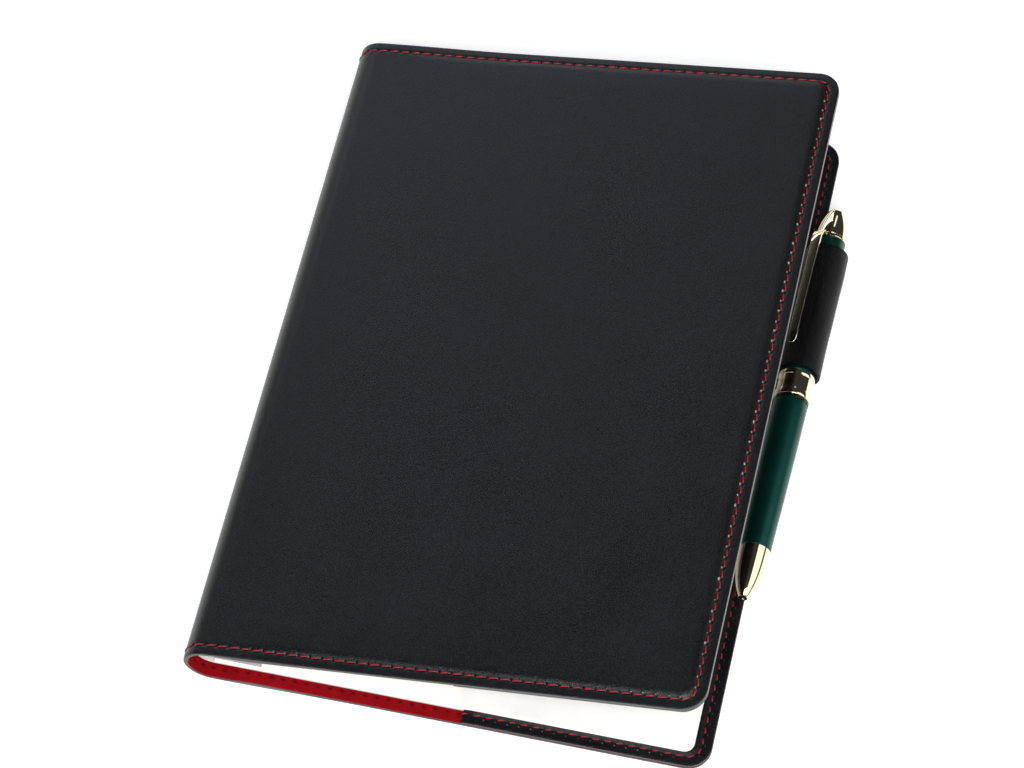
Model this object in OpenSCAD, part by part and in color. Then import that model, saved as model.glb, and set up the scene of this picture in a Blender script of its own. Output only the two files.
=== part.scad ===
// Leather notebook cover with a bound notebook and a twist pen in its loop.
// The cover lies on its back panel. +X runs from the spine to the fore-edge,
// +Y along the spine to the head, +Z up. The origin is the centre of the back
// panel's underside. All sizes are in millimetres.

/* [Cover] */
// Height of the cover along the spine
cover_h = 218; // [150:1:300]
// Width of the closed cover from the spine to the fore-edge
cover_w = 154; // [110:1:220]
// Outer radius of the bend at the spine
bend_r = 8.0; // [7:0.1:9]
// Angle between the two covers as they lie
gape = 10.2; // [8:0.01:20]
// Radius of the two fore-edge corners
corner_r = 7; // [6:0.5:14]
// Width of each pocket flap
flap_w = 72; // [40:1:90]

/* [Layers] */
// Thickness of the outer leather
leather_t = 1.0; // [0.8:0.1:1.2]
// Thickness of the padded board inside each cover
core_t = 1.0; // [0.8:0.1:1.5]
// Thickness of the suede lining
lining_t = 0.5; // [0.4:0.1:0.6]
// Thickness of a pocket flap
flap_t = 0.7; // [0.5:0.1:0.8]
// Distance from the edge of the cover to its seam
seam_inset = 3.0; // [2.5:0.1:3.5]
// Width of the sewing thread
thread_w = 0.5; // [0.4:0.1:0.6]

/* [Notebook] */
// Height of the notebook's pages
page_h = 210; // [140:1:292]
// Width of the notebook's pages
page_w = 141; // [96:1:208]
// Thickness of the block of pages
pages_t = 2.2; // [1:0.1:2.2]
// Thickness of the notebook's card cover
card_t = 0.4; // [0.3:0.1:0.4]

/* [Pen] */
// Height of the pen's axis above the ground
pen_z = 9.7; // [9.6:0.1:12]
// Lean of the pen towards the spine at its point
pen_tilt = 1.37; // [0:0.01:2]
// Distance of the pen's point below the middle of the cover
pen_drop = 56.3; // [40:0.1:70]
// Wall thickness of the pen loop
loop_t = 1.0; // [0.8:0.1:1.2]
// Length of the pen loop
loop_len = 43.5; // [20:0.5:46]

/* [Hidden] */

$fn = 96;
eps = 0.5;
spine_x = -cover_w / 2;
panel_w = cover_w - bend_r;
half_h = cover_h / 2;

// Levels in a panel, measured inwards from its outer face
core_z = leather_t;
rim_z = core_t;
lining_z = leather_t + core_t;
inner_z = lining_z + lining_t;
card_z = inner_z + 0.05;
pocket_z = card_z + card_t + 0.05;
flap_top = pocket_z + flap_t;
flap_rim_top = inner_z + flap_t;
sheet_t = leather_t + lining_t;

// Places in a panel, measured from the end of the spine bend
core_x = 6;
step_w = 1;
rim_w = 4;
core_inset = 5;
flap_x = panel_w - flap_w;
flap_step_inset = seam_inset + thread_w / 2 + 0.05;
pocket_inset = flap_step_inset + 0.6;
thread_h = 0.2;

// The bend unrolls about two pivots, each of which turns through half of it
bend_deg = 180 - gape;
half_bend = bend_deg / 2;
neutral = sheet_t / 2;
neutral_r = bend_r - neutral;
half_arc = half_bend * PI / 180;
unroll_dx = neutral_r * (sin(half_bend) - half_arc);
unroll_dz = -neutral_r * (1 - cos(half_bend));
mid_x = -neutral_r * (sin(half_bend) + half_arc) / 2;
mid_z = neutral_r * (1 - cos(half_bend)) / 2;
lever = 0.5 / tan(half_bend / 2);
pivot = [mid_x - lever * unroll_dz, neutral + mid_z + lever * unroll_dx];
pivot_r = 0.65;
slot_deg = 5;

// Levels and places of the notebook in the back panel
page_x = 0;
page_z = pocket_z;
page_lift = flap_top + 0.05 - page_z;
page_edge = page_x + page_w;
card_w = page_edge - 2;
tape_t = 0.3;
tape_drop = 0.1;

// Stations along the pen from its point, and radii
pen_x = cover_w + 2.1;
pen_x_y = 32;
cone_s = 16.1;
lower_s = 66.5;
ring_s = 67.5;
upper_s = 76;
band_s = 124.6;
dome_s = 125.8;
pen_len = 136;
point_r = 1.3;
cone_r = 4.6;
lower_r = 5.15;
ring_r = 5.5;
upper_r = 5.35;
top_r = 4.95;
band_r = 5.15;
dome_r = 4.65;
dome_tip_r = 2.2;
bore_r = 3.6;
spigot_r = 3.55;
neck_r = 4.5;
refill_r = 1.5;
tip_hole_r = 1.2;
refill_point_r = 1.1;
refill_join_s = 11;
refill_len = 88;
refill_gap = 0.08;
loop_in_r = ring_r + 0.1;
loop_out_r = loop_in_r + loop_t;
loop_s = 77;
tab_x = panel_w - flap_step_inset + 0.1;
tab_len = 5;

// Clip, in the plane through the pen's axis
clip_deg = 32;
clip_w = 3.2;
clip_in = 6.9;
clip_out = 7.7;
clip_toe = 6.75;
clip_root = 5.25;
clip_s = 84;
clip_top_s = 125.7;

// Puts a back panel in its place
module back_place() {
  translate([spine_x + bend_r, 0, 0]) children();
}

// Puts the same panel on top, turned over and raised by the gape
module front_place() {
  translate([spine_x + bend_r, 0, bend_r])
    rotate([0, -gape, 0])
      mirror([0, 0, 1])
        translate([0, 0, -bend_r])
          children();
}

// Outline of a panel, with round corners at the fore-edge
module outline(inset, x0 = 0) {
  round_r = corner_r - inset;
  flat_x = panel_w - corner_r;
  translate([x0, -half_h + inset])
    square([flat_x - x0, cover_h - 2 * inset]);
  translate([x0, -half_h + corner_r])
    square([panel_w - inset - x0, cover_h - 2 * corner_r]);
  for (side = [-1, 1])
    translate([flat_x, side * (half_h - corner_r)])
      circle(r = round_r);
}

// A layer of the outline between two levels
module layer(z0, z1, inset, x0 = 0) {
  translate([0, 0, z0])
    linear_extrude(z1 - z0)
      outline(inset, x0);
}

// All that lies outside the outline at the given inset, between two levels
module border(z0, z1, inset, x0) {
  translate([0, 0, z0])
    linear_extrude(z1 - z0)
      difference() {
        translate([x0, -cover_h])
          square([2 * cover_w, 2 * cover_h]);
        outline(inset, x0 - eps);
      }
}

// The strip beside the spine bend, above a level
module spine_strip(z0, x1) {
  translate([-eps, -cover_h, z0])
    cube([x1 + eps, 2 * cover_h, flap_top]);
}

// Slice of the bend's ring in the XZ plane, from angle a0 to a1 past its lower end
module ring_slice(r_out, r_in, a0, a1) {
  far = 3 * r_out;
  am = (a0 + a1) / 2;
  intersection() {
    difference() {
      circle(r = r_out);
      circle(r = r_in);
    }
    polygon([[0, 0],
             [-far * sin(a0), -far * cos(a0)],
             [-far * sin(am), -far * cos(am)],
             [-far * sin(a1), -far * cos(a1)]]);
  }
}

// A sheet bent about the spine, cut back round the pivots
module bent_sheet(r_out, r_in, a0, a1, height) {
  rotate([90, 0, 0])
    linear_extrude(height, center = true)
      difference() {
        translate([0, bend_r]) ring_slice(r_out, r_in, a0, a1);
        translate(pivot) circle(r = pivot_r);
        translate([0, bend_r])
          rotate(gape)
            mirror([0, 1])
              translate([0, -bend_r])
                translate(pivot)
                  circle(r = pivot_r);
      }
}

// The lip of a sheet that a panel carries into the bend
module lip(r_out, r_in, height) {
  bent_sheet(r_out, r_in, 0, half_bend / 2 - slot_deg, height);
}

// The middle of a bent sheet, between the two pivots
module bend_middle(r_out, r_in, height) {
  bent_sheet(r_out, r_in, half_bend / 2 + slot_deg, 1.5 * half_bend - slot_deg, height);
}

// Outer leather of a panel, raised over the board inside the seam
module leather_panel() {
  difference() {
    layer(0, lining_z, 0);
    border(-eps, rim_z, rim_w, core_x);
    layer(core_z, lining_z + eps, core_inset, core_x);
    spine_strip(core_z, core_x - step_w);
  }
  lip(bend_r, bend_r - leather_t, cover_h);
}

// Padded board between the leather and the lining
module panel_core() {
  layer(core_z, lining_z, core_inset, core_x);
}

// Suede lining of a panel, stepped down where it meets the spine
module lining_panel() {
  step_x = core_x - step_w;
  difference() {
    layer(core_z, inner_z, 0);
    spine_strip(core_z + lining_t, step_x - lining_t);
    translate([step_x, -cover_h, core_z - eps])
      cube([cover_w, 2 * cover_h, core_t + eps]);
  }
  lip(bend_r - leather_t, bend_r - sheet_t, cover_h);
}

// Pocket flap, sewn on three sides and open towards the spine
module pocket_flap() {
  difference() {
    layer(inner_z, flap_top, 0, flap_x);
    layer(inner_z - eps, pocket_z, pocket_inset, flap_x - eps);
    border(flap_rim_top, flap_top + eps, flap_step_inset, flap_x - eps);
  }
}

// One run of sewing thread round three sides, between two levels
module seam(z0, x0, x1) {
  translate([0, 0, z0])
    linear_extrude(thread_h)
      intersection() {
        difference() {
          outline(seam_inset - thread_w / 2);
          outline(seam_inset + thread_w / 2, -eps);
        }
        translate([x0, -half_h]) square([x1 - x0, cover_h]);
      }
}

// Both faces of the seam of a panel
module panel_stitching() {
  seam(rim_z - thread_h, core_x + thread_w, panel_w);
  seam(inner_z, core_x, flap_x);
  seam(flap_rim_top, flap_x, panel_w);
}

// A flat card of the notebook's cover, with its share of the spine bend
module notebook_card() {
  translate([0, -page_h / 2, card_z])
    cube([card_w, page_h, card_t]);
  lip(bend_r - card_z, bend_r - card_z - card_t, page_h);
}

// Puts a solid of revolution, drawn along +Z from the pen's point, on the pen's axis
module pen_place() {
  translate([spine_x + pen_x, pen_x_y, pen_z])
    rotate([0, 0, -pen_tilt])
      translate([0, -pen_drop - pen_x_y, 0])
        rotate([-90, 0, 0])
          children();
}

// Turns a profile of radius and station about the pen's axis
module turned(points) {
  rotate_extrude() polygon(points);
}

module back_outer_leather() {
  color([0.09, 0.1, 0.11]) back_place() leather_panel();
}

module back_panel_core() {
  color([0.55, 0.5, 0.44]) back_place() panel_core();
}

module back_lining() {
  color([0.55, 0.03, 0.06]) back_place() lining_panel();
}

module back_pocket_flap() {
  color([0.12, 0.12, 0.13]) back_place() pocket_flap();
}

module back_stitching() {
  tab_y0 = loop_s - pen_drop - 1;
  color([0.7, 0.04, 0.1]) back_place() {
    difference() {
      panel_stitching();
      translate([tab_x, tab_y0, flap_rim_top - eps])
        cube([tab_len, loop_len + 2, flap_top]);
    }
  }
}

// A leather sleeve with a tab that is sewn to the rim of the back cover
module pen_loop() {
  color([0.1, 0.1, 0.11])
    difference() {
      union() {
        pen_place()
          translate([0, 0, loop_s])
            cylinder(r = loop_out_r, h = loop_len);
        back_place()
          translate([tab_x, loop_s - pen_drop, flap_rim_top])
            cube([tab_len, loop_len, loop_t]);
      }
      pen_place()
        translate([0, 0, loop_s - eps])
          cylinder(r = loop_in_r, h = loop_len + 2 * eps);
    }
}

module spine_outer_leather() {
  color([0.1, 0.11, 0.12]) back_place() bend_middle(bend_r, bend_r - leather_t, cover_h);
}

module spine_lining() {
  color([0.5, 0.03, 0.06])
    back_place() bend_middle(bend_r - leather_t, bend_r - sheet_t, cover_h);
}

// Thread that runs round the bend at the head and the tail
module spine_stitching() {
  color([0.7, 0.04, 0.1])
    back_place()
      for (side = [-1, 1])
        translate([0, side * (half_h - seam_inset), 0])
          bend_middle(bend_r + thread_h, bend_r, thread_w);
}

module front_outer_leather() {
  color([0.09, 0.1, 0.11]) front_place() leather_panel();
}

module front_panel_core() {
  color([0.55, 0.5, 0.44]) front_place() panel_core();
}

module front_lining() {
  color([0.55, 0.03, 0.06]) front_place() lining_panel();
}

module front_pocket_flap() {
  color([0.12, 0.12, 0.13]) front_place() pocket_flap();
}

module front_stitching() {
  color([0.7, 0.04, 0.1]) front_place() panel_stitching();
}

module notebook_back_card() {
  color([0.9, 0.88, 0.84]) back_place() notebook_card();
}

module notebook_front_card() {
  color([0.9, 0.88, 0.84]) front_place() notebook_card();
}

module notebook_spine_card() {
  color([0.9, 0.88, 0.84])
    back_place() bend_middle(bend_r - card_z, bend_r - card_z - card_t, page_h);
}

// Pages bound at the spine, lying on the card and then over the pocket flap
module notebook_page_block() {
  rise_x = flap_x - 0.3;
  color([0.97, 0.97, 0.95])
    back_place() {
      translate([page_x, -page_h / 2, page_z])
        cube([rise_x - page_x, page_h, pages_t]);
      translate([rise_x, -page_h / 2, page_z + page_lift])
        cube([page_edge - rise_x, page_h, pages_t]);
    }
}

// Cloth tape along the bound edge of the pages
module notebook_binding_tape() {
  color([0.85, 0.84, 0.8])
    back_place()
      translate([page_x - tape_t, -page_h / 2, page_z])
        cube([tape_t, page_h, pages_t - tape_drop]);
}

// Gold dome, screwed into the top of the barrel
module pen_finial() {
  dome_h = pen_len - dome_s - dome_tip_r;
  color([0.85, 0.72, 0.42])
    pen_place() {
      turned([[0, dome_s], [dome_r, dome_s], [dome_r - 0.15, dome_s + 0.25 * dome_h],
              [dome_r - 0.6, dome_s + 0.55 * dome_h], [dome_r - 1.3, dome_s + 0.8 * dome_h],
              [dome_tip_r, dome_s + dome_h], [0, dome_s + dome_h]]);
      translate([0, 0, dome_s + dome_h])
        sphere(r = dome_tip_r);
      translate([0, 0, dome_s - 6])
        cylinder(r = bore_r - 0.02, h = 6 + eps);
    }
}

// Thin gold washer that the clip grows out of
module pen_clip_band() {
  color([0.85, 0.72, 0.42])
    pen_place()
      turned([[bore_r, band_s], [band_r, band_s], [band_r, dome_s], [bore_r, dome_s]]);
}

module pen_upper_barrel() {
  color([0.02, 0.2, 0.17])
    pen_place()
      turned([[bore_r, ring_s + 0.2], [neck_r, ring_s + 0.2], [neck_r, upper_s],
              [upper_r, upper_s], [top_r, band_s], [bore_r, band_s]]);
}

// Two gold bands with a plain turned stretch between them
module pen_centre_ring() {
  groove = 0.25;
  color([0.85, 0.72, 0.42])
    pen_place()
      turned([[neck_r, ring_s], [ring_r, ring_s], [ring_r, ring_s + 2],
              [ring_r - groove, ring_s + 2.2], [ring_r - groove, upper_s - 1.6],
              [ring_r, upper_s - 1.4], [ring_r, upper_s], [neck_r, upper_s]]);
}

// Brass twist unit, fixed in the upper barrel, with a nose that the lower barrel turns on
module pen_twist_mechanism() {
  nose_s = ring_s - 9;
  body_s = ring_s + 45;
  color([0.75, 0.6, 0.3])
    pen_place()
      turned([[refill_r + refill_gap, nose_s], [spigot_r, nose_s], [spigot_r, ring_s + 0.2],
              [bore_r - 0.02, ring_s + 0.4], [bore_r - 0.02, body_s],
              [refill_r + refill_gap, body_s]]);
}

// Sprung clip that lies along the pen outside the loop
module pen_clip() {
  color([0.85, 0.72, 0.42])
    pen_place()
      rotate([0, 0, -90 - clip_deg])
        rotate([90, 0, 0])
          linear_extrude(clip_w, center = true)
            polygon([[clip_root, clip_top_s - 1], [clip_root, clip_top_s],
                     [clip_out - 0.8, clip_top_s], [clip_out, clip_top_s - 3],
                     [clip_out, clip_s + 0.6], [clip_out - 0.4, clip_s],
                     [clip_toe + 0.3, clip_s], [clip_toe, clip_s + 0.8],
                     [clip_toe, clip_s + 1.8], [clip_in, clip_s + 2.8],
                     [clip_in, clip_top_s - 3.4], [clip_in - 0.7, clip_top_s - 1]]);
}

module pen_lower_barrel() {
  color([0.02, 0.22, 0.19])
    pen_place()
      turned([[bore_r, cone_s], [cone_r, cone_s], [lower_r, lower_s], [bore_r, lower_s]]);
}

// Thin black ring on the end of the lower barrel
module pen_joint_ring() {
  color([0.05, 0.05, 0.05])
    pen_place()
      turned([[bore_r, lower_s], [lower_r + 0.1, lower_s], [lower_r + 0.1, ring_s - 0.1],
              [bore_r, ring_s - 0.1]]);
}

// Gold cone, screwed into the lower barrel
module pen_tip_cone() {
  color([0.85, 0.72, 0.42])
    pen_place()
      turned([[tip_hole_r, 0], [point_r, 0], [2.7, 2.9], [3.65, 6], [4.25, 10], [4.5, 13],
              [cone_r, cone_s], [bore_r - 0.02, cone_s], [bore_r - 0.02, cone_s + 4],
              [2.6, cone_s + 4], [2.6, 9], [tip_hole_r, 6]]);
}

module pen_refill_tube() {
  color([0.7, 0.7, 0.72])
    pen_place()
      translate([0, 0, refill_join_s])
        cylinder(r = refill_r, h = refill_len);
}

// Brass ball point of the refill, drawn in behind the hole of the cone
module pen_refill_point() {
  color([0.8, 0.75, 0.6])
    pen_place()
      turned([[0, 0.9], [0.35, 0.9], [0.6, 1.6], [0.6, 3.2], [refill_point_r, 4.2],
              [refill_point_r, refill_join_s], [0, refill_join_s]]);
}

back_outer_leather();
back_panel_core();
back_lining();
back_pocket_flap();
back_stitching();
pen_loop();
spine_outer_leather();
spine_lining();
spine_stitching();
front_outer_leather();
front_panel_core();
front_lining();
front_pocket_flap();
front_stitching();
notebook_back_card();
notebook_spine_card();
notebook_front_card();
notebook_page_block();
notebook_binding_tape();
pen_finial();
pen_clip_band();
pen_upper_barrel();
pen_centre_ring();
pen_twist_mechanism();
pen_clip();
pen_lower_barrel();
pen_joint_ring();
pen_tip_cone();
pen_refill_tube();
pen_refill_point();
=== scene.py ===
# %% [markdown]
# # A leather notebook cover with its notebook and pen
# The real thing is one sheet of black leather folded round a spine, lined with red suede, padded
# with thin boards and sewn all round with red thread. It holds a thin notebook, and a pen sits in a
# leather loop on its fore-edge. The sizes come from a imported CAD model, so this lesson only has to
# make each piece look like what it is. The frame is loaded first.

# %% Load the frame
import math
import bmesh
import bpy
import numpy as np
from mathutils import Matrix, Vector


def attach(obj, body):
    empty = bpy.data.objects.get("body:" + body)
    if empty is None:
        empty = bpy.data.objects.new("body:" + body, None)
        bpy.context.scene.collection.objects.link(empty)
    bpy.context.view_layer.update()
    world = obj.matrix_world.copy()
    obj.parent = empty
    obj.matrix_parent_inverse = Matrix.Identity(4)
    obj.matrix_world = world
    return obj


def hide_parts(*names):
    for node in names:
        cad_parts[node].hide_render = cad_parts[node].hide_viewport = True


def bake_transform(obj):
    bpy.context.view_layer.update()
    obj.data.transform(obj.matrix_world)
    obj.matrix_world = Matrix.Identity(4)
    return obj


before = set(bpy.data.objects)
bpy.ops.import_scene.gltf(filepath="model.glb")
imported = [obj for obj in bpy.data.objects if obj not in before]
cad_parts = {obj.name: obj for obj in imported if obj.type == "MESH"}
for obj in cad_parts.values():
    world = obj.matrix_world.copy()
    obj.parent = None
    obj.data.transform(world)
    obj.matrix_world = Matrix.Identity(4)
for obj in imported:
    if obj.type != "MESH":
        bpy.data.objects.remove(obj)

bpy.context.view_layer.update()

# %% [markdown]
# ## Working by hand, in code
# Everything is drawn in millimetres and stored in metres. An operator acts on all that is selected,
# so a new piece starts with nothing else selected. In edit mode, pick() selects points, edges or
# faces by their place, as a hand would with a box select, and the next operator works on them.

# %% Helpers to start a piece and to select by place
MM = 0.001


def only(obj):
    """Leaves obj alone selected and active."""
    if bpy.context.object and bpy.context.object.mode != "OBJECT":
        bpy.ops.object.mode_set(mode="OBJECT")
    bpy.ops.object.select_all(action="DESELECT")
    obj.select_set(True)
    bpy.context.view_layer.objects.active = obj
    return obj


def started(name):
    """Names the primitive that was just added, puts its origin at the frame's and opens it for editing."""
    obj = bpy.context.object
    obj.name = obj.data.name = name
    bpy.ops.object.transform_apply(location=True, rotation=True, scale=True)
    bpy.ops.object.mode_set(mode="EDIT")
    return obj


def pick(obj, kind, test):
    """In edit mode, selects the points, edges or faces whose middle passes test, in millimetres."""
    bpy.ops.mesh.select_mode(type=kind)
    bpy.ops.mesh.select_all(action="DESELECT")
    net = bmesh.from_edit_mesh(obj.data)
    for part in {"VERT": net.verts, "EDGE": net.edges, "FACE": net.faces}[kind]:
        if kind == "VERT":
            middle = part.co
        elif kind == "EDGE":
            middle = (part.verts[0].co + part.verts[1].co) / 2
        else:
            middle = part.calc_center_median()
        if test(middle / MM):
            part.select_set(True)
    net.select_flush_mode()
    bmesh.update_edit_mesh(obj.data)


def points(obj):
    """The piece's points in millimetres, as an array."""
    flat = np.empty(len(obj.data.vertices) * 3)
    obj.data.vertices.foreach_get("co", flat)
    return flat.reshape(-1, 3) / MM


def set_points(obj, places):
    """Moves the piece's points to places, in metres."""
    obj.data.vertices.foreach_set("co", np.asarray(places, float).ravel())
    obj.data.update()


def smooth_step(x, low, high):
    """Rises softly from 0 at low to 1 at high."""
    t = np.clip((np.asarray(x, float) - low) / (high - low), 0, 1)
    return t * t * (3 - 2 * t)


# %% Helpers for cuts and steps that come back
def begun(name, primitive, size, place):
    """Adds a unit primitive, gives it its size and place in millimetres and opens it for editing."""
    bpy.ops.object.select_all(action="DESELECT")
    primitive(size=1)
    bpy.ops.transform.resize(value=[c * MM for c in size])
    bpy.ops.transform.translate(value=[c * MM for c in place])
    return started(name)


def score(at, way=(1, 0, 0), threshold=1e-6, **sides):
    """In edit mode, cuts the piece along the plane that stands at a place in millimetres."""
    bpy.ops.mesh.select_all(action="SELECT")
    bpy.ops.mesh.bisect(plane_co=[c * MM for c in at], plane_no=way, threshold=threshold, **sides)


def extrude(x, y, z):
    """In edit mode, extrudes what is selected by a step in millimetres."""
    bpy.ops.mesh.extrude_region_move(TRANSFORM_OT_translate={"value": (x * MM, y * MM, z * MM)})


def normals_out():
    """Turns every face of the open piece outwards and closes it."""
    bpy.ops.mesh.select_all(action="SELECT")
    bpy.ops.mesh.normals_make_consistent(inside=False)
    bpy.ops.object.mode_set(mode="OBJECT")


def with_step(obj, kind, **settings):
    """Adds one modifier to the active piece and applies it."""
    step = obj.modifiers.new(kind, kind)
    for key, value in settings.items():
        setattr(step, key, value)
    bpy.ops.object.modifier_apply(modifier=step.name)


# %% [markdown]
# ## The folded sheet
# Leather, lining, thread and the notebook's card all go round the same bend, so each is made flat
# and then folded by one rule. Flat, the sheets lie side by side as on the cutting table: across from
# the middle of the spine, along the spine, and depth under the outer face. Folding keeps the length
# along the sheet's middle, bends the strip at the spine to an 8 mm radius, and lifts the front by
# the angle at which it rests.

# %% The fold
COVER_H, CORNER, GAPE, BEND_R = 218.0, 7.0, 10.2, 8.0
LEATHER_T, LINING_T, FLAP_T, CARD_T = 1.0, 0.5, 0.7, 0.4
PANEL_W = 146.0                         # from the bend to the fore-edge
HALF_TURN = (180 - GAPE) / 2            # each half of the spine turns this far
HALF_BEND = (BEND_R - (LEATHER_T + LINING_T) / 2) * math.radians(HALF_TURN)
HALF_W = HALF_BEND + PANEL_W            # from the middle of the spine to the fore-edge, flat
BEND_X = -69.0                          # where the bend's centre stands
FRONT_EASE = 1.01                       # the front reaches a little further out than the back


def turned(x, z, front):
    """From the bend's centre: the back as it is, the front mirrored and lifted by the gape."""
    g = math.radians(GAPE)
    z = np.where(front, -z, z)
    return (np.where(front, x * math.cos(g) - z * math.sin(g), x),
            np.where(front, x * math.sin(g) + z * math.cos(g), z))


def fold(flat):
    """Points (across, along, depth) of the flat sheets, in millimetres, to places in metres."""
    u, v, depth = np.asarray(flat, float).T
    panel = np.abs(u) - HALF_BEND
    panel = np.where((u < 0) & (panel > 0), panel * FRONT_EASE, panel)
    turn = math.radians(HALF_TURN) * np.clip(-panel / HALF_BEND, 0, 1)
    radius = BEND_R - depth
    x, z = turned(np.maximum(panel, 0) - radius * np.sin(turn), -radius * np.cos(turn), u < 0)
    return np.column_stack([x + BEND_X, v, np.maximum(z + BEND_R, 0)]) * MM


print("flat sheet:", round(2 * HALF_W, 1), "by", COVER_H, "mm; each half bends", HALF_TURN, "degrees")

# %% [markdown]
# ## Where the seam runs
# The seam follows the edge of the cover at a steady 3 mm, on round the spine. Each half has 149
# stitches: 43 along the tail, two in the corner, 59 up the fore-edge, two more, and 43 along the
# head. rim_place() says for any point of the flat sheet how far it is from the edge and where it
# stands along the seam, counted in stitches, so that needle holes, puckers and thread all meet.

# %% Distance from the edge, and place along the seam
SEAM, RUN_LONG, RUN_CORNER, RUN_FORE = 3.0, 43, 2, 59
STITCHES = 2 * RUN_LONG + 2 * RUN_CORNER + RUN_FORE
STRAIGHT_U, STRAIGHT_V = HALF_W - CORNER, COVER_H / 2 - CORNER
PITCH = STRAIGHT_U / RUN_LONG


def rim_place(u, v):
    """(distance from the edge in millimetres, place along the half's seam in stitches)"""
    a, v = np.abs(u), np.asarray(v, float)
    side, fore = COVER_H / 2 - np.abs(v), HALF_W - a
    edge = np.minimum(side, fore)
    along = np.where(v < 0, a / STRAIGHT_U * RUN_LONG, STITCHES - a / STRAIGHT_U * RUN_LONG)
    up = RUN_LONG + RUN_CORNER + (v + STRAIGHT_V) / (2 * STRAIGHT_V) * RUN_FORE
    place = np.where(side < fore, along, up)
    du, dv = a - STRAIGHT_U, np.abs(v) - STRAIGHT_V
    corner = (du > 0) & (dv > 0)
    share = np.arctan2(dv, np.maximum(du, 1e-9)) / (math.pi / 2)
    edge = np.where(corner, CORNER - np.hypot(du, dv), edge)
    tail_turn = RUN_LONG + (1 - share) * RUN_CORNER
    head_turn = RUN_LONG + RUN_CORNER + RUN_FORE + share * RUN_CORNER
    return edge, np.where(corner, np.where(v < 0, tail_turn, head_turn), place)


def seam_point(place):
    """(across, along, direction across, direction along) of a place on the seam."""
    reach = COVER_H / 2 - SEAM
    first, second = RUN_LONG + RUN_CORNER, RUN_LONG + RUN_CORNER + RUN_FORE
    if place < RUN_LONG or place > STITCHES - RUN_LONG:
        tail = place < RUN_LONG
        a = (place if tail else STITCHES - place) / RUN_LONG * STRAIGHT_U
        return a, -reach if tail else reach, 1.0 if tail else -1.0, 0.0
    if first <= place <= second:
        return HALF_W - SEAM, -STRAIGHT_V + (place - first) / RUN_FORE * 2 * STRAIGHT_V, 0.0, 1.0
    tail = place < first
    t = (place - (RUN_LONG if tail else second)) / RUN_CORNER * math.pi / 2
    t = t - math.pi / 2 if tail else t
    r = CORNER - SEAM
    return (STRAIGHT_U + r * math.cos(t), (-STRAIGHT_V if tail else STRAIGHT_V) + r * math.sin(t),
            -math.sin(t), math.cos(t))


def from_hole(place):
    """Distance along the seam to the nearest needle hole, in millimetres."""
    return (place - np.round(place)) * PITCH


print("stitches on each half:", STITCHES, "at", round(PITCH, 2), "mm")

# %% [markdown]
# ## Cutting a sheet
# A sheet starts as a plane. Its corners are rounded with a vertex bevel, its straight edges are
# subdivided to twelve points a stitch, or six on the lining and flaps, and inset rings follow the
# edge inwards so that the seam can be pressed into real geometry. The middle is then cut across with
# bisect: finely at the spine, where it will bend, and widely on the panels. Last it gets its thickness.

# %% Cut a flat sheet with rims
RINGS = [0.12, 0.3, 0.6, 1.2, 1.9, 2.4, 2.7, 2.95, 3.2, 3.5, 3.8, 4.15, 4.6, 5.2, 6.0]


ON_LINE = 5e-4                          # how near an edge's middle must be to count as on a line
SHEET_CUT = 4e-6                        # cuts merge with points that are nearer than this, in metres
BEND_REACH, CLEAR = 11, 6               # fine cuts reach this far; no cut comes nearer the ends than this


def cut_sheet(name, low, high, half_h, radius, rings, steps, thickness):
    """A flat sheet from low to high across and half_h to each side along, in millimetres."""
    obj = begun(name, bpy.ops.mesh.primitive_plane_add, (high - low, 2 * half_h, 1), ((high + low) / 2, 0, 0))
    bpy.ops.mesh.flip_normals()
    pick(obj, "VERT", lambda p: True)
    bpy.ops.mesh.bevel(offset=radius * MM, segments=2 * steps, affect="VERTICES")
    for runs, level in ((lambda p: abs(abs(p.y) - half_h) < ON_LINE, (high - low - 2 * radius) / PITCH),
                        (lambda p: min(abs(p.x - low), abs(p.x - high)) < ON_LINE, RUN_FORE)):
        for cuts in (round(level) - 1, steps - 1):
            pick(obj, "EDGE", runs)
            bpy.ops.mesh.subdivide(number_cuts=cuts, quadcorner="STRAIGHT_CUT")
    bpy.ops.mesh.select_mode(type="FACE")
    bpy.ops.mesh.select_all(action="SELECT")
    for last, ring in zip([0] + rings, rings):
        bpy.ops.mesh.inset(thickness=(ring - last) * MM, use_boundary=True, use_even_offset=True)
    bpy.ops.mesh.hide(unselected=True)
    fine, wide = PITCH / steps, PITCH * 2
    count = round(BEND_REACH / fine)
    across = [k * fine for k in range(-count, count + 1)]
    across += [side * k * wide for side in (-1, 1) for k in range(1, 23) if k * wide > BEND_REACH + 0.1]
    for x in across:
        if low + CLEAR < x < high - CLEAR:
            score((x, 0, 0), threshold=SHEET_CUT)
    for y in np.linspace(-97, 97, 19):
        score((0, y, 0), (0, 1, 0), SHEET_CUT)
    bpy.ops.mesh.reveal()
    bpy.ops.object.mode_set(mode="OBJECT")
    obj.data.materials.append(None)
    obj.data.materials.append(None)
    with_step(obj, "SOLIDIFY", thickness=thickness * MM, offset=-1, material_offset_rim=1)
    print(name, "has", len(obj.data.vertices), "points")
    return obj


def lay_pattern(obj, flat):
    """A UV map in metres from flat places in millimetres, so that the grain follows the leather round."""
    layer = obj.data.uv_layers.new(name="flat")
    corner = np.empty(len(obj.data.loops), int)
    obj.data.loops.foreach_get("vertex_index", corner)
    layer.data.foreach_set("uv", (flat[corner, :2] * MM).ravel())


def paint(obj, name, values):
    """Stores a value on each point, for the material to read."""
    mask = obj.data.attributes.new(name, "FLOAT", "POINT")
    mask.data.foreach_set("value", np.asarray(values, np.float32))


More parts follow.
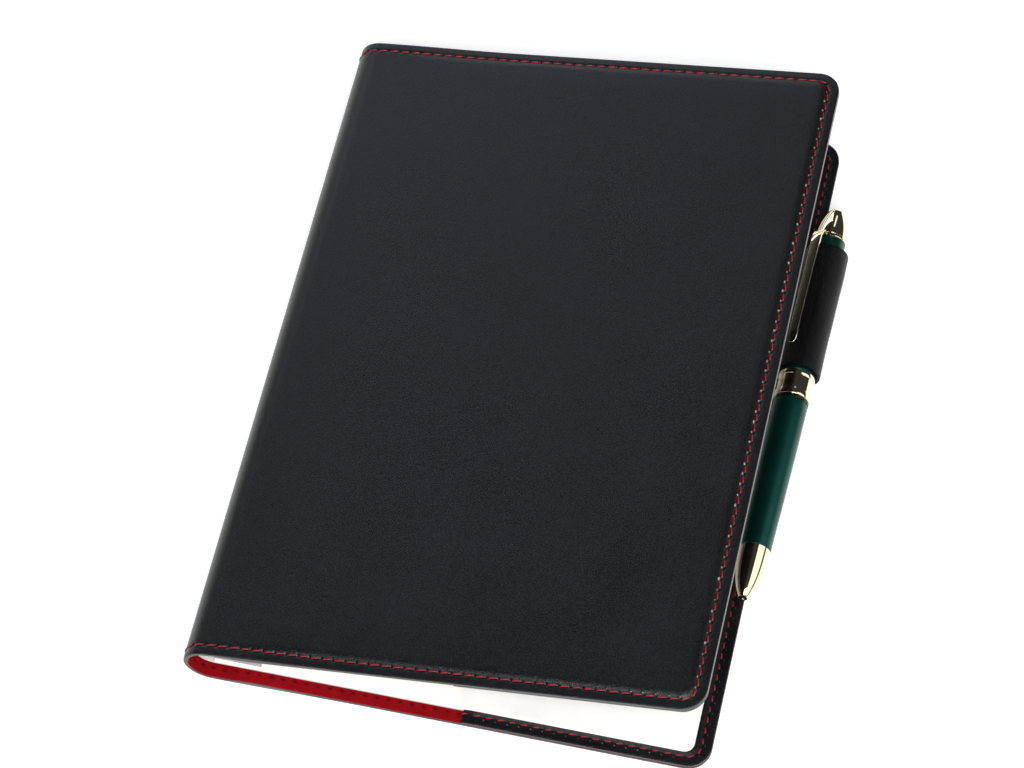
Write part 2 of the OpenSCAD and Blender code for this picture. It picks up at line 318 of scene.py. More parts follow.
# %% [markdown]
# ## The outer leather
# The boards make each panel stand a millimetre proud inside the seam, and the leather slopes down
# from the seam to a cut edge. Each needle hole pulls the leather in, and a small pucker stands up
# beside it, strongest on the fore-edge where the padding is fullest. Those heights are worked out
# from the place along the seam and pressed into the flat sheet before it is folded. No two puckers
# are alike on sewn leather, so each gets its own size and offset.

# %% Press the seam into the flat leather
RIM_AT = [0] + RINGS
RIM_DEPTH = [1.24, 1.13, 1.07, 1.03, 0.98, 0.92, 0.90, 0.97, 1.04, 0.92, 0.66, 0.45, 0.28, 0.14, 0.05, 0]


def on_panel(u):
    """0 at the spine, and 1 from where the rim has its full shape."""
    return smooth_step(np.abs(u) - HALF_BEND, 0.0, 44.0)


def lining_level(u, edge):
    """Depth of the lining's outer face, which rises onto the board, early and gently along the rim."""
    past = np.abs(u) - HALF_BEND
    gentle, inside = smooth_step(past, 1.0, 14.0), smooth_step(edge, 3.7, 4.9)
    return 1.0 + gentle * (1 - inside) + smooth_step(past, 4.5, 6.0) * inside


def chance(k, seed):
    """A fixed number from 0 to 1 for each stitch."""
    return np.mod(np.abs(np.sin(np.asarray(k, float) * 12.9898 + seed * 78.233)) * 4375.85, 1.0)


def leather_face(u, v):
    """(depth of the leather's outer face without stitching, with it, and how much is pucker)"""
    edge, place = rim_place(u, v)
    spine = np.interp(edge, [0, 0.12, 0.3, 0.6, 2.4, 2.95, 3.5], [0.34, 0.12, 0.04, 0, 0, 0.12, 0])
    panel = np.interp(edge, RIM_AT, RIM_DEPTH)
    share = on_panel(u)
    base = share * panel + (1 - share) * spine
    away = from_hole(place)
    k, out = np.round(place), np.abs(u) / HALF_W
    fullness = np.where(v < 0, 0.2 + 0.55 * out ** 2, 0.06 + 0.25 * out ** 3)
    fullness = np.where(np.abs(v) < STRAIGHT_V, 1.0, fullness) * (0.7 + 0.4 * chance(k, 1))
    aside = away + 0.5 * chance(k, 2) - 0.25 + 0.35 * (edge - 3.4)
    inwards = edge - 3.32 - 0.2 * chance(k, 3)
    bump = fullness * share * np.exp(-(aside / (0.4 + 0.25 * chance(k, 4))) ** 2 - (inwards / 0.34) ** 2)
    hole = np.exp(-(away / 0.42) ** 2 - ((edge - 3.05) / 0.42) ** 2)
    return base, base - 0.36 * bump + 0.30 * hole, bump


leather = cut_sheet("leather_sheet", -HALF_W, HALF_W, COVER_H / 2, CORNER, RINGS, 12, LEATHER_T)
at = points(leather)
lay_pattern(leather, at)
base, pressed, pucker = leather_face(at[:, 0], at[:, 1])
outside = at[:, 2] < 0.5
edge, place = rim_place(at[:, 0], at[:, 1])
off_rim = smooth_step(edge, 4.0, 5.0)
under = (1 - off_rim) * lining_level(at[:, 0], edge) + off_rim * LEATHER_T
at[:, 2] = np.where(outside, pressed, np.maximum(under, base + 0.6))
set_points(leather, at * MM)
# The pucker mask tells the material where to paint a pale highlight on each pucker, and the hole mask where
# to paint the shade in each needle hole.
paint(leather, "pucker", np.where(outside, pucker, 0))
paint(leather, "hole", np.exp(-(from_hole(place) / 0.55) ** 2 - ((edge - 3.1) / 0.5) ** 2))

# %% [markdown]
# ## Two halves that meet at the spine
# When the cover opens, the back half of the bend turns about one hinge and the front half about the
# other, and both follow the spine where they meet. So each sheet is cut into two pieces at the
# middle of the spine, and each piece is folded on its own. The cut is made while the sheet is flat,
# by bisecting a copy on each side.

# %% Halve a flat sheet and fold it
def halved(sheet, stem):
    """Cuts the flat sheet at the middle of the spine and folds both halves, kept by their side."""
    made = {}
    for side in ("back", "front"):
        half = sheet.copy()
        half.data = sheet.data.copy()
        half.name = half.data.name = stem + "_" + side
        bpy.context.scene.collection.objects.link(half)
        only(half)
        bpy.ops.object.mode_set(mode="EDIT")
        score((0, 0, 0), threshold=SHEET_CUT, use_fill=True,
              clear_inner=side == "back", clear_outer=side == "front")
        bpy.ops.object.mode_set(mode="OBJECT")
        flat = points(half)
        flat[np.abs(flat[:, 0]) < 1e-3, 0] = 1e-7 if side == "back" else -1e-7
        set_points(half, fold(flat))
        made[side] = half
    bpy.data.objects.remove(sheet)
    return made


def finish_sheet(halves, angle=40):
    """Shades both halves and bakes their transform into their points."""
    for side, piece in halves.items():
        only(piece)
        bpy.ops.object.shade_smooth_by_angle(angle=math.radians(angle))
        if side == "back":
            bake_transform(piece)
        else:
            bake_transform(piece)


leather_halves = halved(leather, "outer_leather")
finish_sheet(leather_halves)
print({side: len(p.data.polygons) for side, p in leather_halves.items()})

# %% [markdown]
# ## The red lining and the black pocket flaps
# The suede lining is a second sheet, half a millimetre thick, that lies on the boards and comes
# close against the leather at the spine. Each pocket flap is pebbled leather sewn in with the same
# seam along three sides. It lies flat on the rim and rises over the notebook's card inside the seam.

# %% Lining
LINING_IN = 0.06                        # how far the lining stays inside the leather's edge
lining = cut_sheet("lining_sheet", LINING_IN - HALF_W, HALF_W - LINING_IN, COVER_H / 2 - LINING_IN,
                   CORNER - LINING_IN, [0.15, 1.2, 2.4, 2.9, 3.4, 4.0], 6, LINING_T)
at = points(lining)
lay_pattern(lining, at)
edge, place = rim_place(at[:, 0], at[:, 1])
hole = np.exp(-(from_hole(place) / 0.62) ** 2 - ((edge - SEAM) / 0.4) ** 2)
pressed = 0.14 * np.exp(-((edge - SEAM) / 0.45) ** 2) + 0.18 * hole
rounded = 0.12 * smooth_step(0.3 - edge, 0, 0.15)
inner = at[:, 2] > LINING_T / 2
at[:, 2] = lining_level(at[:, 0], edge) + np.where(inner, LINING_T - pressed - rounded, 0)
set_points(lining, at * MM)
# The hole mask tells the suede where to paint the shade in each needle hole.
paint(lining, "hole", hole)
lining_halves = halved(lining, "suede_lining")
finish_sheet(lining_halves)

# %% Pocket flaps
FLAP_FROM = HALF_BEND + 74              # where the flap's free edge lies, flat
FLAP_IN, FLAP_FACE = 0.1, 2.5           # inside the leather's edge, and depth of its lower face
FLAP_HALF, FLAP_R = COVER_H / 2 - FLAP_IN, CORNER - FLAP_IN
FLAP_RINGS = [0.12, 0.4, 1.2, 1.9, 2.4, 2.9, 3.4, 3.9, 4.4, 6.0]
flaps = {}
for side, sign in (("back", 1), ("front", -1)):
    low, high = sorted((sign * FLAP_FROM, sign * (HALF_W - FLAP_IN)))
    flap = cut_sheet("pocket_flap_" + side, low, high, FLAP_HALF, FLAP_R, FLAP_RINGS, 6, FLAP_T)
    at = points(flap)
    # the free edge is straight, so the two rounded corners there are squared again
    du = FLAP_FROM + FLAP_R - np.abs(at[:, 0])
    dv = np.abs(at[:, 1]) - (FLAP_HALF - FLAP_R)
    farthest = np.maximum(np.maximum(du, dv), 1e-6)
    grow = np.where((du > 0) & (dv > 0), np.hypot(du, dv) / farthest, 1.0)
    at[:, 0] = np.where(grow > 1, sign * (FLAP_FROM + FLAP_R - du * grow), at[:, 0])
    at[:, 1] = np.where(grow > 1, np.sign(at[:, 1]) * (FLAP_HALF - FLAP_R + dv * grow), at[:, 1])
    lay_pattern(flap, at)
    edge, place = rim_place(at[:, 0], at[:, 1])
    away = from_hole(place)
    hole = np.exp(-(away / 0.45) ** 2 - ((edge - SEAM) / 0.45) ** 2)
    tuft = np.exp(-((away - 0.3) / 0.5) ** 2 - ((edge - 2.1) / 0.42) ** 2)
    pressed = 0.2 * np.exp(-((edge - SEAM) / 0.4) ** 2) + 0.25 * hole - 0.16 * tuft
    rounded = 0.15 * smooth_step(0.35 - edge, 0, 0.2)
    rounded += 0.15 * smooth_step(FLAP_FROM + 0.35 - np.abs(at[:, 0]), 0, 0.35)
    upper = at[:, 2] > FLAP_T / 2
    at[:, 2] = FLAP_FACE + 0.5 * smooth_step(edge, 3.1, 4.3) + np.where(upper, FLAP_T - pressed - rounded, 0)
    # On the flap the tufts get a painted highlight, and the holes get painted shade.
    paint(flap, "pucker", np.where(upper, 0.6 * tuft, 0))
    paint(flap, "hole", hole)
    set_points(flap, fold(at))
    only(flap)
    bpy.ops.object.shade_smooth_by_angle(angle=math.radians(40))
    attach(flap, side + "_cover")
    flaps[side] = flap

# %% [markdown]
# ## Red thread
# One stitch is a short six-sided rod, bent so that its ends dive into the needle holes, and a little
# thinner there. It is copied along the seam, 149 times on each side of each half, each leaning a few
# degrees as hand-sewn thread does, and the whole row is folded with the sheet. A stitch has only a
# few dozen faces because there are about six hundred of them.

# %% One stitch
bpy.ops.object.select_all(action="DESELECT")
bpy.ops.mesh.primitive_cylinder_add(vertices=6, radius=0.26 * MM, depth=2.6 * MM,
                                    rotation=(0, math.pi / 2, 0))
stitch = started("one_stitch")
for x in (-1.1, -0.75, 0.0, 0.75, 1.1):
    score((x, 0, 0))
for reach, dive, size in ((1.25, 0.42, 0.7), (1.05, 0.16, 0.85), (0.7, 0.03, 1.0)):
    for side in (-1, 1):
        pick(stitch, "VERT", lambda p: side * p.x > 0 and abs(abs(p.x) - (reach + 0.05)) < 0.06)
        bpy.ops.transform.resize(value=(1, size, size))
        bpy.ops.transform.translate(value=(0, 0, dive * MM))
bpy.ops.object.mode_set(mode="OBJECT")
stitch_points = points(stitch)
stitch_faces = [tuple(p.vertices) for p in stitch.data.polygons]
bpy.data.objects.remove(stitch)
print("one stitch:", len(stitch_faces), "faces")


# %% Rows of stitches
LOOP_LOW, LOOP_HIGH = 19.7, 65.7        # where the loop's tab lies under the thread
LEAN, THREAD_IN = math.radians(8), 1.8


def stitch_level(u, v, front, outside):
    """Depth of the thread's middle on the outer or inner face."""
    if outside:
        return float(leather_face(np.array([u]), np.array([v]))[0][0]) - 0.16
    under = 1.2 + float(lining_level(u, SEAM) - LEATHER_T)
    if u > FLAP_FROM:
        under = 3.2
    if not front and u > HALF_W - 4 and LOOP_LOW < v < LOOP_HIGH:
        under = 4.25
    return under - 0.08


def stitch_row(name, front, outside):
    """All the stitches on one face of one half, folded with the sheet."""
    rows, faces = [], []
    for k in range(STITCHES):
        u, v, du, dv = seam_point(k + 0.5)
        local = stitch_points.copy()
        local[:, 2] = local[:, 2] if outside else -local[:, 2]
        x = local[:, 0] * math.cos(LEAN) - local[:, 1] * math.sin(LEAN)
        y = local[:, 0] * math.sin(LEAN) + local[:, 1] * math.cos(LEAN)
        if not outside:
            x = x * (0.8 if u > FLAP_FROM else 0.55)
        across, along = u + x * du - y * dv, v + x * dv + y * du
        across = np.maximum(across, 0.02)
        level = stitch_level(u, v, front, outside)
        rows.append(np.column_stack([-across if front else across, along, level + local[:, 2]]))
        faces += [tuple(i + k * len(local) for i in face) for face in stitch_faces]
    flat = np.concatenate(rows)
    mesh = bpy.data.meshes.new(name)
    mesh.from_pydata(fold(flat).tolist(), [], faces)
    row = bpy.data.objects.new(name, mesh)
    bpy.context.scene.collection.objects.link(row)
    only(row)
    bpy.ops.object.mode_set(mode="EDIT")
    normals_out()
    return row


threads = {}
for side in ("back", "front"):
    for face in ("outer", "inner"):
        threads[side, face] = stitch_row("thread_" + face + "_" + side, side == "front", face == "outer")
        finish_sheet({side: threads[side, face]}, 60)

# %% [markdown]
# ## The notebook
# The notebook is a card cover with 22 thin leaves and a cloth binding, whose strip reaches 14 mm over
# the top leaf; its pinkish grey is partly the cloth's own colour and partly painted shade near the
# spine. The card goes round the spine with the leather. The leaves are copies of one, each
# with its own small error, so that their edges read as paper, and they step up over the pocket flap.

# %% Card cover
PAGE_H, PAGE_W, CARD_FACE = 210, 141, 2.55
CARD_W = HALF_BEND + PAGE_W - 2
card = begun("notebook_card_sheet", bpy.ops.mesh.primitive_plane_add, (2 * CARD_W, PAGE_H, 1), (0, 0, 0))
bpy.ops.mesh.flip_normals()
pick(card, "VERT", lambda p: True)
bpy.ops.mesh.bevel(offset=2.5 * MM, segments=6, affect="VERTICES")
for k in range(-24, 25):
    score((k * 0.45, 0, 0), threshold=SHEET_CUT)
bpy.ops.object.mode_set(mode="OBJECT")
with_step(card, "SOLIDIFY", thickness=CARD_T * MM, offset=-1)
at = points(card)
lay_pattern(card, at)
at[:, 2] += CARD_FACE
set_points(card, at * MM)
card_halves = halved(card, "notebook_card")
finish_sheet(card_halves, 40)

# %% Leaves
leaf = begun("notebook_leaves", bpy.ops.mesh.primitive_plane_add, (PAGE_W, PAGE_H, 1),
             (BEND_X + PAGE_W / 2, 0, 0))
pick(leaf, "VERT", lambda p: p.x > 0)
bpy.ops.mesh.bevel(offset=3.0 * MM, segments=6, affect="VERTICES")
for x in np.concatenate([np.linspace(71.7, 76.7, 9), np.linspace(6, 67, 9), np.linspace(86, 136, 6)]):
    score((BEND_X + x, 0, 0))
bpy.ops.mesh.select_all(action="SELECT")
extrude(0, 0, 0.085)
normals_out()
LEAVES = 22
rng = np.random.default_rng(7)
one = points(leaf)
leaves = [leaf]
for k in range(LEAVES):
    page = leaf if k == 0 else leaf.copy()
    if k:
        page.data = leaf.data.copy()
        bpy.context.scene.collection.objects.link(page)
        leaves.append(page)
    page_at = one.copy()
    step = 0.75 * smooth_step(one[:, 0], BEND_X + 72, BEND_X + 76.4)
    lift = 0.02 * np.sin(one[:, 1] / 31 + k) * smooth_step(one[:, 0], -60, 60)
    page_at[:, 0] += np.where(one[:, 0] > 0, rng.uniform(-0.22, 0.0), 0)
    page_at[:, 1] *= 1 - rng.uniform(0, 0.0012)
    page_at[:, 2] += 3.0 + k * 0.1 + step + lift * (k / LEAVES)
    set_points(page, page_at * MM)
only(leaf)
for page in leaves:
    page.select_set(True)
bpy.ops.object.join()
bpy.ops.object.shade_smooth_by_angle(angle=math.radians(30))
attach(leaf, "back_cover")

# %% Binding cloth
# The strip that reaches over the top leaf is where the cloth's painted spine shade shows.
binding = begun("notebook_binding", bpy.ops.mesh.primitive_cube_add, (0.3, 209.6, 2.3),
                (BEND_X - 0.16, 0, 4.12))
pick(binding, "FACE", lambda p: p.z > 5.2)
extrude(0, 0, 0.06)
pick(binding, "FACE", lambda p: p.x > BEND_X - 0.1 and p.z > 5.25)
extrude(14.0, 0, 0)
bpy.ops.mesh.select_all(action="SELECT")
bpy.ops.mesh.bevel(offset=0.02 * MM, segments=1)
bpy.ops.object.mode_set(mode="OBJECT")
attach(binding, "back_cover")

# %% [markdown]
# ## The pen loop
# A strip of soft leather lies on the rim, goes once round the pen and comes back to where it started.
# It is drawn as one edge along the pen, extruded step by step round the circle, and then thickened
# and bevelled so that its cut edges show.

# %% The pen's own axes, and the loop
TILT = math.radians(1.37)
ALONG = Vector((math.sin(TILT), math.cos(TILT), 0))
ACROSS = Vector((math.cos(TILT), -math.sin(TILT), 0))
TIP = Vector((79.1, 32, 9.7)) - 88.3 * ALONG
TO_PEN = Matrix((
    (ACROSS.x, ALONG.x, 0, TIP.x * MM),
    (ACROSS.y, ALONG.y, 0, TIP.y * MM),
    (0, 0, 1, TIP.z * MM),
    (0, 0, 0, 1)))

LOOP_R, LOOP_LEN, LOOP_FROM = 6.1, 43.5, 77
pen_loop = begun("pen_loop_strap", bpy.ops.mesh.primitive_plane_add, (1, LOOP_LEN, 1),
                 (-5.2, LOOP_FROM + LOOP_LEN / 2, -LOOP_R + 0.1))
path = [(-4.7, -LOOP_R + 0.1), (-3.4, -LOOP_R + 0.07), (-2.2, -LOOP_R + 0.03), (-1.0, -LOOP_R)]
path += [(LOOP_R * math.sin(math.radians(a)), -LOOP_R * math.cos(math.radians(a))) for a in range(0, 316, 9)]
path += [(-4.9, -3.9), (-5.3, -4.4), (-5.75, -4.75)]
for (x0, z0), (x1, z1) in zip(path, path[1:]):
    pick(pen_loop, "EDGE", lambda p: abs(p.x - x0) < 1e-3 and abs(p.z - z0) < 1e-3)
    bpy.ops.mesh.extrude_edges_move(TRANSFORM_OT_translate={"value": ((x1 - x0) * MM, 0, (z1 - z0) * MM)})
for y in np.linspace(LOOP_FROM + 0.6, LOOP_FROM + LOOP_LEN - 0.6, 15):
    score((0, y, 0), (0, 1, 0))
normals_out()
at = points(pen_loop)
wave = 0.05 * np.sin(at[:, 1] / 5.3 + at[:, 0]) + 0.04 * np.sin(at[:, 1] / 2.9)
r = np.hypot(at[:, 0], at[:, 2])
keep = at[:, 2] > -5
at[:, 0] += np.where(keep, at[:, 0] / r * wave, 0)
at[:, 2] += np.where(keep, at[:, 2] / r * wave, 0)
set_points(pen_loop, at * MM)
lay_pattern(pen_loop, np.column_stack([np.arctan2(at[:, 0], -at[:, 2]) * LOOP_R, at[:, 1]]))
only(pen_loop)
with_step(pen_loop, "SOLIDIFY", thickness=1.0 * MM, offset=0.0)
with_step(pen_loop, "BEVEL", width=0.22 * MM, segments=3, limit_method="ANGLE")
pen_loop.data.transform(TO_PEN)
bpy.ops.object.shade_smooth_by_angle(angle=math.radians(40))
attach(pen_loop, "back_cover")
print("pen loop:", len(pen_loop.data.polygons), "faces")

# %% [markdown]
# ## The pen
# Every round part of the pen is turned. Its outline is drawn as one point extruded from corner to
# corner, station by station from the tip, and spun once round the pen's axis. Doubles are merged
# where the spin meets itself and on the axis. Small steps in the outlines are the chamfers and
# grooves that catch the light on a real pen.

# %% Turn a part on the lathe
def lathe(name, outline, body, steps=96):
    """outline holds (station, radius) corners in millimetres, going once round the section."""
    bpy.ops.object.select_all(action="DESELECT")
    bpy.ops.mesh.primitive_plane_add(size=MM)
    obj = started(name)
    bpy.ops.mesh.select_mode(type="VERT")
    bpy.ops.mesh.select_all(action="SELECT")
    bpy.ops.mesh.merge(type="CENTER")
    bpy.ops.transform.translate(value=(outline[0][1] * MM, outline[0][0] * MM, 0))
    for (s0, r0), (s1, r1) in zip(outline, outline[1:]):
        extrude(r1 - r0, s1 - s0, 0)
    bpy.ops.mesh.select_all(action="SELECT")
    bpy.ops.mesh.spin(steps=steps, angle=2 * math.pi, center=(0, 0, 0), axis=(0, 1, 0))
    bpy.ops.mesh.select_all(action="SELECT")
    bpy.ops.mesh.remove_doubles(threshold=2e-6)
    normals_out()
    obj.data.transform(TO_PEN)
    bpy.ops.object.shade_smooth_by_angle(angle=math.radians(28))
    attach(obj, body)
    return obj


def arc(s, r, size, start, end, count):
    """Corners on a quarter round, from start to end degrees, about station s and radius r."""
    return [(s + size * math.sin(math.radians(a)), r + size * math.cos(math.radians(a)))
            for a in np.linspace(start, end, count)]


# %% Tip cone, lower barrel and joint ring
CONE_END, JOINT, RING, RING_END, BAND, DOME, PEN_END = 16.1, 66.5, 67.5, 76.0, 124.6, 125.8, 136.0
LOW_BORE, BORE = 3.7, 3.8
cone_shape = [(0.2, 1.45), (1.5, 2.1), (2.9, 2.72), (4.5, 3.25), (6, 3.65), (8, 4.0), (10, 4.25),
              (13, 4.49), (CONE_END, 4.6)]
curve = np.polyfit([s for s, r in cone_shape], [r for s, r in cone_shape], 4)
nose = [(0.0, 1.2), (0.0, 1.42), (0.15, 1.56)]
nose += [(s, float(np.polyval(curve, s))) for s in np.linspace(0.35, 16.0, 26)]
nose += [(CONE_END, 4.5), (CONE_END, LOW_BORE), (12, 3.4), (5, 2.2), (1.2, 1.2), (0.0, 1.2)]
tip_cone = lathe("pen_cone", nose, "pen_lower")

low_line = [(16.15, LOW_BORE), (16.15, 4.5), (16.25, 4.6)]
low_line += [(s, 4.62 + 0.54 * math.sin((s - 16.3) / 50 * math.pi / 2)) for s in np.linspace(17, 66, 22)]
low_line += [(66.35, 5.1), (66.45, 5.0), (66.45, LOW_BORE), (16.15, LOW_BORE)]
lower_barrel = lathe("pen_barrel_lower", low_line, "pen_lower")

joint_line = [(JOINT, LOW_BORE), (JOINT, 5.1)] + arc(66.65, 5.1, 0.15, -90, 0, 4)
joint_line += arc(67.25, 5.1, 0.15, 0, 90, 4) + [(67.4, LOW_BORE), (JOINT, LOW_BORE)]
joint_ring = lathe("pen_black_ring", joint_line, "pen_lower", 72)

# %% Centre ring, upper barrel, clip band and finial
ring_line = [(RING, BORE), (RING, 5.3)] + arc(67.7, 5.3, 0.2, -90, 0, 5)
ring_line += [(69.4, 5.5), (69.6, 5.45), (69.7, 5.25), (74.4, 5.25), (74.5, 5.45), (74.7, 5.5)]
ring_line += arc(75.8, 5.3, 0.2, 0, 90, 5) + [(RING_END, BORE), (RING, BORE)]
centre_ring = lathe("pen_ring", ring_line, "pen")

up_line = [(76.02, BORE), (76.02, 5.25), (76.15, 5.36)]
up_line += [(s, 5.36 - 0.72 * (s - RING_END) / 48.6) for s in np.linspace(77, 124, 12)]
up_line += [(124.45, 4.58), (124.55, 4.4), (124.55, BORE), (76.02, BORE)]
upper_barrel = lathe("pen_barrel_upper", up_line, "pen")

band_line = [(BAND, BORE), (BAND, 4.75)] + arc(124.78, 4.75, 0.17, -90, 0, 4)
band_line += arc(125.6, 4.75, 0.17, 0, 90, 4) + [(125.78, BORE), (BAND, BORE)]
clip_band = lathe("pen_band", band_line, "pen")

dome = [(DOME, 0.0), (DOME, 4.65), (125.9, 4.77)]
dome += [(s, 4.77 - 2.1 * ((s - 125.9) / 9.5) ** 2.1) for s in np.linspace(126.4, 134.5, 16)]
dome += arc(134.4, 1.4, 1.6, 12, 90, 9) + [(PEN_END, 0.0)]
finial = lathe("pen_dome", dome, "pen")

# %% [markdown]
# ## The clip
# The clip is a strip of sprung brass, plated with the rest. It starts as a small block at its root,
# grows along its length by extruding its end face and moving that face in or out, and gets its soft
# edges from a bevel. Its toe is turned down and rounded, to slip over leather.

# %% Clip
pen_clip = begun("pen_clip_spring", bpy.ops.mesh.primitive_cube_add, (3.2, 0.5, 1.0), (0, 125.35, 5.55))
course = [(125.1, 5.55), (124.7, 6.55), (123.9, 7.0), (122.6, 7.26), (120.5, 7.33), (116, 7.32),
          (110, 7.30), (104, 7.30), (98, 7.30), (92, 7.28), (88.2, 7.25), (86.4, 7.18), (85.2, 7.08),
          (84.4, 7.04), (84.0, 7.04)]
for (s0, r0), (s1, r1) in zip(course, course[1:]):
    pick(pen_clip, "FACE", lambda p: abs(p.y - s0) < 0.02 and abs(p.z - r0) < 0.6)
    extrude(0, s1 - s0, r1 - r0)
bpy.ops.object.mode_set(mode="OBJECT")
at = points(pen_clip)
at[:, 0] *= np.interp(at[:, 1], [84, 84.3, 85, 86.2, 90, 110, 122, 125.6],
                      [0.45, 0.66, 0.88, 0.98, 0.9, 0.94, 1.0, 1.0])
outer = at[:, 2] > np.interp(at[:, 1], [84, 85.2, 88.2, 120.5, 122.6, 123.9, 124.7, 125.1, 125.6],
                             [7.04, 7.08, 7.25, 7.33, 7.26, 7.0, 6.55, 5.55, 5.55])
thin = np.where(outer, -0.12, 0.12)
at[:, 2] += np.where(at[:, 1] < 124.8, thin, 0)
set_points(pen_clip, at * MM)
only(pen_clip)
with_step(pen_clip, "BEVEL", width=0.35 * MM, segments=4, limit_method="ANGLE", angle_limit=math.radians(35))
pen_clip.data.transform(Matrix.Rotation(math.radians(-32), 4, "Y"))
pen_clip.data.transform(TO_PEN)
bpy.ops.object.shade_smooth_by_angle(angle=math.radians(32))
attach(pen_clip, "pen_clip")

# %% [markdown]
# ## Finishes
# Each finish is built from nodes. Two effects are shared: leather grain, which gives cells with
# creases between them, and wear, which gives soft patches at the size of a fingertip. They are node
# groups that give only heights and masks, and each material decides what those mean for it. The
# sheets read their flat pattern map, so the grain bends with the leather. The rest read their place.

# %% Node helpers
def linear(*rgb):
    """A colour given from 0 to 255, as the shader wants it."""
    parts = [c / 255 for c in rgb]
    return tuple(c / 12.92 if c <= 0.04045 else ((c + 0.055) / 1.055) ** 2.4 for c in parts) + (1.0,)


def feed(tree, socket, value):
    """Sets a socket to a value, or links it to the socket that feeds it."""
    if isinstance(value, bpy.types.NodeSocket):
        tree.links.new(value, socket)
    else:
        socket.default_value = value


def add(tree, kind, inputs=None, **settings):
    """Adds a node. An input is a value, or the socket that feeds it."""
    node = tree.nodes.new("ShaderNode" + kind)
    for key, value in settings.items():
        setattr(node, key, value)
    for key, value in (inputs or {}).items():
        feed(tree, node.inputs[key], value)
    return node


def effect(name, inputs, outputs):
    """Starts a shared effect with named inputs and outputs."""
    tree = bpy.data.node_groups.new(name, "ShaderNodeTree")
    for label, kind, value in inputs:
        socket = tree.interface.new_socket(label, in_out="INPUT", socket_type="NodeSocket" + kind)
        if value is not None:
            socket.default_value = value
    for label in outputs:
        tree.interface.new_socket(label, in_out="OUTPUT", socket_type="NodeSocketFloat")
    return tree, tree.nodes.new("NodeGroupInput").outputs, tree.nodes.new("NodeGroupOutput").inputs


def use(tree, group, **inputs):
    """Puts a shared effect into a material."""
    return add(tree, "Group", inputs, node_tree=group).outputs


def material(name, roughness, metallic=0.0, **sockets):
    """A new material with its uniform values set straight on the shader."""
    made = bpy.data.materials.new(name)
    made.use_nodes = True
    shader = made.node_tree.nodes["Principled BSDF"]
    shader.inputs["Roughness"].default_value = roughness
    shader.inputs["Metallic"].default_value = metallic
    for key, value in sockets.items():
        shader.inputs[key.replace("_", " ")].default_value = value
    return made, made.node_tree, shader


def colour_by(tree, mask, low, high):
    """A colour between two, as the mask goes from 0 to 1."""
    return add(tree, "Mix", {0: mask, 6: low, 7: high}, data_type="RGBA", clamp_factor=True).outputs[2]


def value_by(tree, mask, low, high):
    """A value between two, as the mask goes from 0 to 1."""
    return add(tree, "MapRange", {"Value": mask, "To Min": low, "To Max": high}).outputs[0]


def mask_of(tree, value, low, high, top=1.0):
    """A mask from 0 to top, as the value goes from low to high."""
    ends = {"Value": value, "From Min": low, "From Max": high, "To Max": top}
    return add(tree, "MapRange", ends).outputs[0]


def bump(tree, shader, height, distance, strength=1.0):
    """Gives the surface a relief, its distance in millimetres."""
    node = add(tree, "Bump", {"Height": height, "Distance": distance * MM, "Strength": strength})
    tree.links.new(node.outputs[0], shader.inputs["Normal"])


# %% Shared effects: leather grain and wear
grain, asked, given = effect("leather grain", [("Place", "Vector", None), ("Cells", "Float", 1500.0),
                                               ("Fibre", "Float", 0.3)], ["Height", "Crease"])
stir = add(grain, "TexNoise", {"Vector": asked["Place"], "Scale": 420.0, "Detail": 2.0})
shift = add(grain, "VectorMath", {0: stir.outputs["Color"], 1: (0.0006, 0.0006, 0.0006)},
            operation="MULTIPLY")
moved = add(grain, "VectorMath", {0: asked["Place"], 1: shift.outputs[0]}, operation="ADD")
cells = add(grain, "TexVoronoi", {"Vector": moved.outputs[0], "Scale": asked["Cells"]},
            feature="DISTANCE_TO_EDGE")
crease = add(grain, "MapRange", {"Value": cells.outputs["Distance"], "From Max": 0.22},
             interpolation_type="SMOOTHSTEP")
fine = add(grain, "TexNoise", {"Vector": moved.outputs[0], "Scale": 5200.0, "Detail": 3.0})
part = add(grain, "Mix", {0: asked["Fibre"], 2: crease.outputs[0], 3: fine.outputs["Fac"]})
grain.links.new(part.outputs[0], given["Height"])
grain.links.new(crease.outputs[0], given["Crease"])

wear, asked, given = effect("soft wear", [("Place", "Vector", None), ("Size", "Float", 60.0)],
                            ["Patch", "Speck"])
patch = add(wear, "TexNoise", {"Vector": asked["Place"], "Scale": asked["Size"], "Detail": 4.0,
                               "Roughness": 0.6})
speck = add(wear, "TexNoise", {"Vector": asked["Place"], "Scale": 2600.0, "Detail": 2.0})
wear.links.new(mask_of(wear, patch.outputs["Fac"], 0.3, 0.7), given["Patch"])
wear.links.new(mask_of(wear, speck.outputs["Fac"], 0.35, 0.75), given["Speck"])
